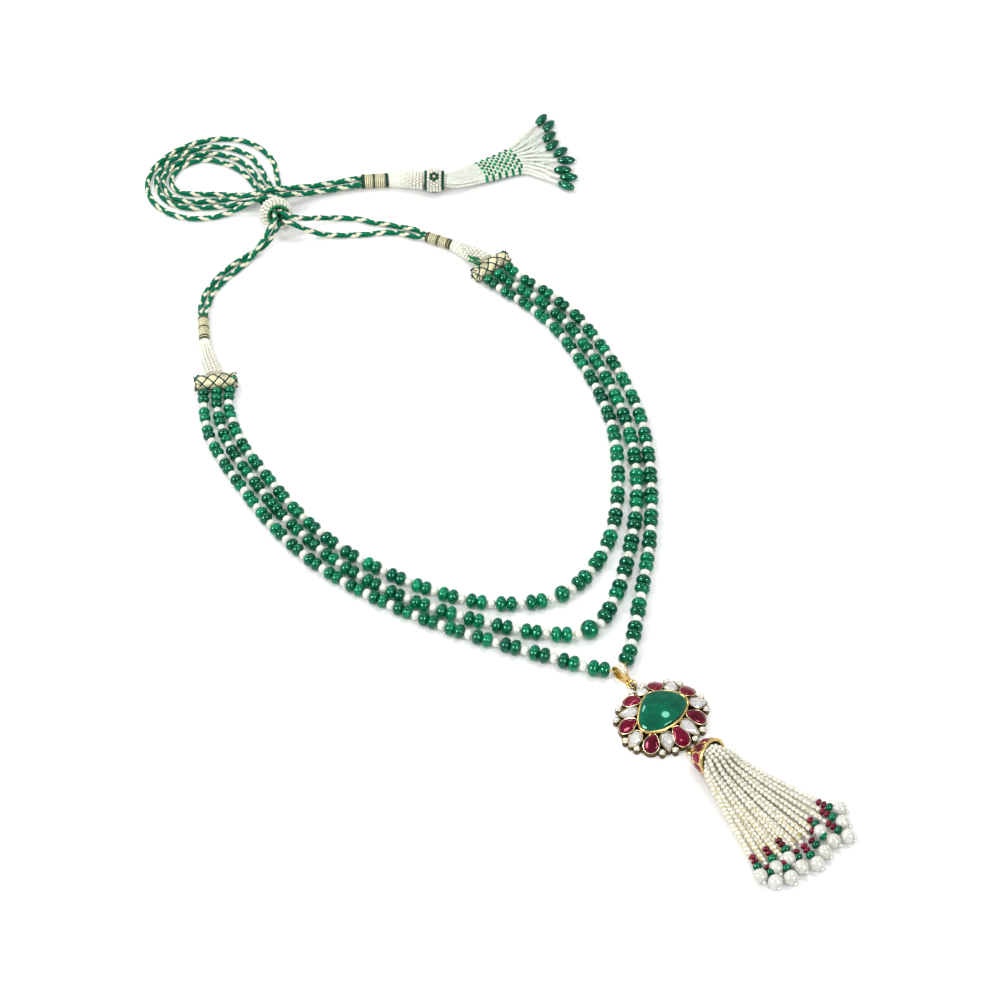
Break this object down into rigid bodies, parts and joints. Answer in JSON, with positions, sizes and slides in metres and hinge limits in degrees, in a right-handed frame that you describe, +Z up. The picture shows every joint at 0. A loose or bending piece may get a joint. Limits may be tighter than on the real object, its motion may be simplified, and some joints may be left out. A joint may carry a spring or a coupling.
{
  "type": "layered necklace",
  "caption": "Layered necklace of graduated green and pearl bead strands with an adjustable braided silk cord, a sliding ball, a jewelled pendant and a pearl tassel, laid flat.",
  "frame": {"origin": "bottom centre of the box round the jewellery without its cords, on the surface that it lies on", "axes": "+Z up from the surface, +Y from the pendant tassel toward the neck cord, +X across to the right strands"},
  "size_m": [0.1801, 0.377, 0.0119],
  "materials": {
    "emerald_and_pearl_beads": "polished emerald rondelles with small pearls",
    "gold_thread": "tightly wound metallic thread",
    "seed_beads": "small glossy beads",
    "silk_cord": "braided silk",
    "emerald": "polished",
    "gold": "polished gold",
    "ruby": "polished",
    "uncut_diamond": "flat polished facets",
    "ruby_inlay": "ruby scales in gold lines",
    "pearl": "pearl lustre"
  },
  "bodies": {
    "root": {"strand_inner_left": "emerald_and_pearl_beads", "strand_inner_right": "emerald_and_pearl_beads", "strand_middle_left": "emerald_and_pearl_beads", "strand_middle_right": "emerald_and_pearl_beads", "strand_outer_left": "emerald_and_pearl_beads", "strand_outer_right": "emerald_and_pearl_beads", "centre_bead_inner": "emerald", "centre_bead_middle": "emerald", "bar_left": "gold_thread", "bar_right": "gold_thread", "sleeve_left": "seed_beads", "sleeve_right": "seed_beads", "wrap_left": "gold_thread", "wrap_right": "gold_thread", "cord_left_a": "silk_cord", "cord_left_b": "silk_cord", "cord_right_a": "silk_cord", "cord_right_b": "silk_cord", "slide_ball": "seed_beads", "end_wrap": "gold_thread", "end_sleeve": "seed_beads", "end_barrel": "seed_beads", "end_strings": "seed_beads", "end_drop_1": "emerald", "end_drop_2": "emerald", "end_drop_3": "emerald", "end_drop_4": "emerald", "end_drop_5": "emerald", "end_drop_6": "emerald", "end_drop_7": "emerald", "end_drop_8": "emerald", "end_drop_9": "emerald", "bail": "gold", "jump_ring": "gold", "pendant_setting": "gold", "centre_stone": "emerald", "rim_stones": "uncut_diamond", "ruby_petal_1": "ruby", "ruby_petal_2": "ruby", "ruby_petal_3": "ruby", "ruby_petal_4": "ruby", "ruby_petal_5": "ruby", "ruby_petal_6": "ruby", "ruby_petal_7": "ruby", "diamond_petal_1": "uncut_diamond", "diamond_petal_2": "uncut_diamond", "diamond_petal_3": "uncut_diamond", "diamond_petal_4": "uncut_diamond", "diamond_petal_5": "uncut_diamond", "diamond_petal_6": "uncut_diamond", "diamond_petal_7": "uncut_diamond", "link_ring": "gold", "tassel_cap": "ruby_inlay", "tassel_strings": "pearl", "tassel_pearls": "pearl"}
  },
  "joints": []
}
